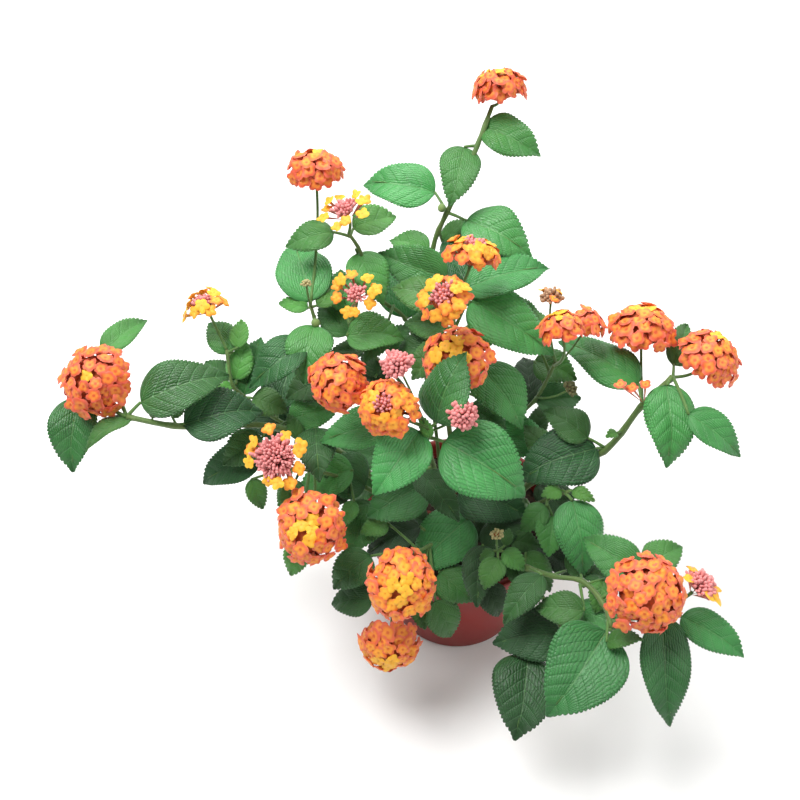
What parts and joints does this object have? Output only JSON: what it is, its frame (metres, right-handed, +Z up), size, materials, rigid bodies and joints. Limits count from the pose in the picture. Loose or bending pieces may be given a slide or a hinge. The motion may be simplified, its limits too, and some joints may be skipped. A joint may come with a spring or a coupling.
{
  "type": "potted lantana",
  "caption": "Lantana bush in a plain round plastic pot: leafy stems with toothed leaves and domed heads of small orange and yellow florets.",
  "frame": {"origin": "middle of the pot's base, on the surface it stands on", "axes": "+Z up; -Y towards the front of the bush, +X to its right as seen from the front"},
  "size_m": [0.3504, 0.2712, 0.2947],
  "materials": {
    "pot_plastic": "moulded, slightly satin brick red",
    "soil": "dark damp bark and peat, crumbly",
    "green": "leafy green, rough and veined with a soft sheen",
    "petals_orange": "velvety orange petals",
    "petals_yellow": "velvety yellow petals",
    "buds_pink": "matt pink unopened buds",
    "buds_green": "matt cream-green buds and dry calyces"
  },
  "bodies": {
    "root": {"buds_centre": "buds_pink", "buds_cream": "buds_green", "buds_right": "buds_pink", "buds_tiny": "buds_green", "cluster_centre_back": "buds_pink", "cluster_centre_high": "buds_pink", "cluster_centre_yellow": "buds_pink", "cluster_left_back": "buds_pink", "cluster_left_buds": "buds_pink", "cluster_left_yellow": "buds_pink", "cluster_low_pink": "buds_pink", "cluster_mid_left": "buds_pink", "head_back": "petals_orange", "head_back_left": "petals_orange", "head_centre": "petals_orange", "head_centre_back": "petals_yellow", "head_centre_high": "petals_yellow", "head_centre_yellow": "petals_yellow", "head_front": "petals_orange", "head_front_low": "petals_orange", "head_left": "petals_orange", "head_left_back": "petals_yellow", "head_left_buds": "petals_yellow", "head_left_low": "petals_orange", "head_left_orange": "petals_orange", "head_left_yellow": "petals_yellow", "head_low_pink": "petals_yellow", "head_low_right": "petals_orange", "head_mid_left": "petals_yellow", "head_right": "petals_orange", "head_right_back": "petals_orange", "head_right_orange": "petals_orange", "head_right_red": "petals_orange", "head_right_seed": "buds_green", "pot": "pot_plastic", "soil": "soil", "spent_right": "buds_green", "stem_back": "green", "stem_back_left": "green", "stem_centre": "green", "stem_centre_back": "green", "stem_front": "green", "stem_front_right": "green", "stem_left": "green", "stem_left_back": "green", "stem_left_front": "green", "stem_left_high": "green", "stem_mid_left": "green", "stem_right": "green", "stem_right_back": "green", "stem_right_low": "green", "stem_right_low_side": "green", "stem_right_mid": "green"}
  },
  "joints": []
}
